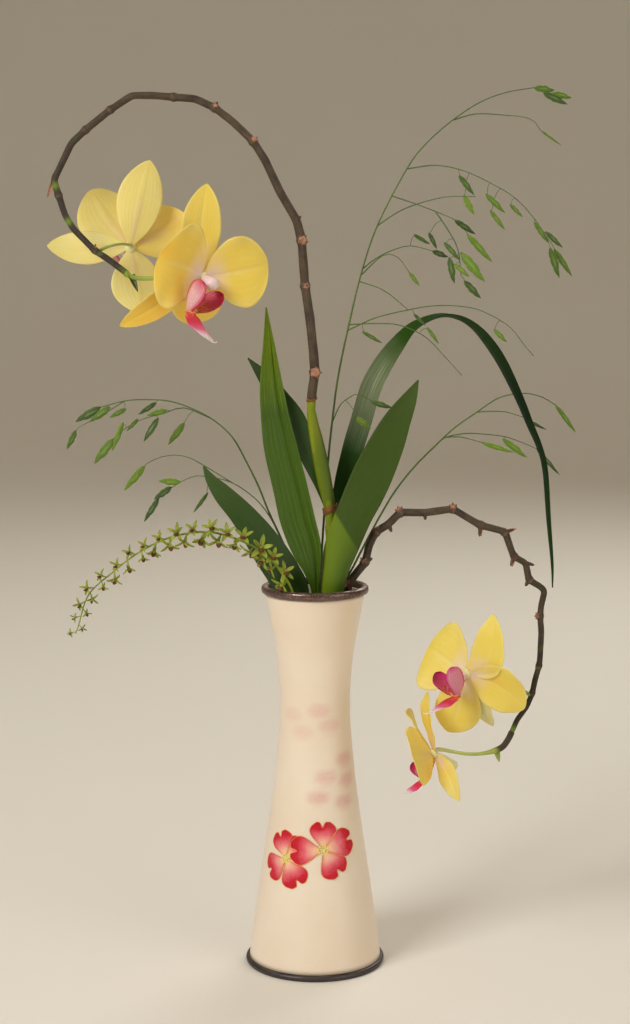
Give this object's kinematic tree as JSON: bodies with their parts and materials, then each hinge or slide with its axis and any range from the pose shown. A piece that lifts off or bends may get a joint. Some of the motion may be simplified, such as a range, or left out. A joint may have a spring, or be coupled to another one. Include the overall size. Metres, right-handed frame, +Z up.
{
  "type": "orchid arrangement in vase",
  "caption": "Orchid spikes, ribbed leaves, fine grasses and a drooping raceme standing in water in a tall waisted vase with a dark metal ring at its rim and at its foot.",
  "frame": {"origin": "on the table under the middle of the vase's foot ring", "axes": "+Z up; +X to the viewer's right and -Y towards the viewer, the side from which the arrangement is seen"},
  "size_m": [0.3262, 0.1172, 0.5459],
  "materials": {
    "cream_glaze": "glossy cream glaze",
    "dark_metal": "dark brown patina",
    "water": "clear water",
    "cane_green": "yellow-green stem and sheath",
    "leaf_green": "ribbed green leaf",
    "dark_green": "dark green leaf with a soft sheen",
    "grass_green": "dry green grass",
    "raceme_green": "yellow-green florets",
    "spike_brown": "dull brown stem",
    "petal_yellow": "soft yellow petal",
    "lip_crimson": "crimson petal",
    "column_pale": "waxy pinkish white"
  },
  "bodies": {
    "root": {"vase_body": "cream_glaze", "rim_ring": "dark_metal", "foot_ring": "dark_metal", "water": "water", "cane": "cane_green", "leaf_pleated": "leaf_green", "leaf_left": "leaf_green", "leaf_strap": "dark_green", "spike_left": "spike_brown", "spike_right": "spike_brown", "raceme": "raceme_green", "grass_right": "grass_green", "grass_left": "grass_green", "grass_low": "grass_green", "bloom_1_tepals": "petal_yellow", "bloom_1_lip": "lip_crimson", "bloom_1_column": "column_pale", "bloom_2_tepals": "petal_yellow", "bloom_2_lip": "lip_crimson", "bloom_2_column": "column_pale", "bloom_3_tepals": "petal_yellow", "bloom_3_lip": "lip_crimson", "bloom_3_column": "column_pale", "bloom_4_tepals": "petal_yellow", "bloom_4_lip": "lip_crimson", "bloom_4_column": "column_pale", "pedicel_1": "cane_green", "pedicel_2": "cane_green", "pedicel_3": "cane_green", "pedicel_4": "cane_green"}
  },
  "joints": []
}
